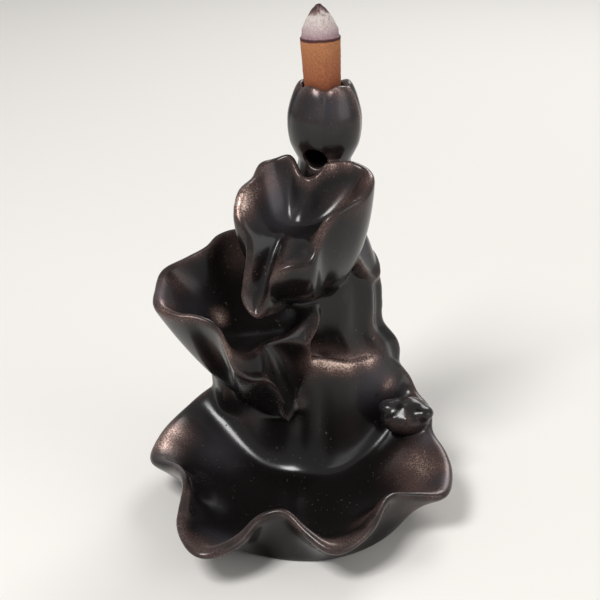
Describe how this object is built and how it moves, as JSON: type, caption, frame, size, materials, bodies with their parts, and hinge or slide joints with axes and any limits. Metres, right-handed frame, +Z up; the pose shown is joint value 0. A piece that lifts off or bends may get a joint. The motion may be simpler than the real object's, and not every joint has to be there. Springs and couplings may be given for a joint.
{
  "type": "backflow incense burner",
  "caption": "Small glazed ceramic ornament of lotus leaves that pour into each other under a lotus bud, with a backflow incense cone standing in the bud.",
  "frame": {"origin": "middle of the base of the whole outline, at the level that the foot stands on", "axes": "+Z is up, the bud and the cone are at the top; -Y is the front, to which the leaves and the basin open; +X is the viewer's right"},
  "size_m": [0.0982, 0.099, 0.1555],
  "materials": {
    "glazed_ceramic": "dark brown glaze with a bronze metallic sheen on rims and folds, gloss to satin",
    "pressed_incense": "pressed wood and charcoal powder, matte, with a grey ash cap and a dark char line"
  },
  "bodies": {
    "root": {"burner_body": "glazed_ceramic", "incense_cone": "pressed_incense"}
  },
  "joints": []
}
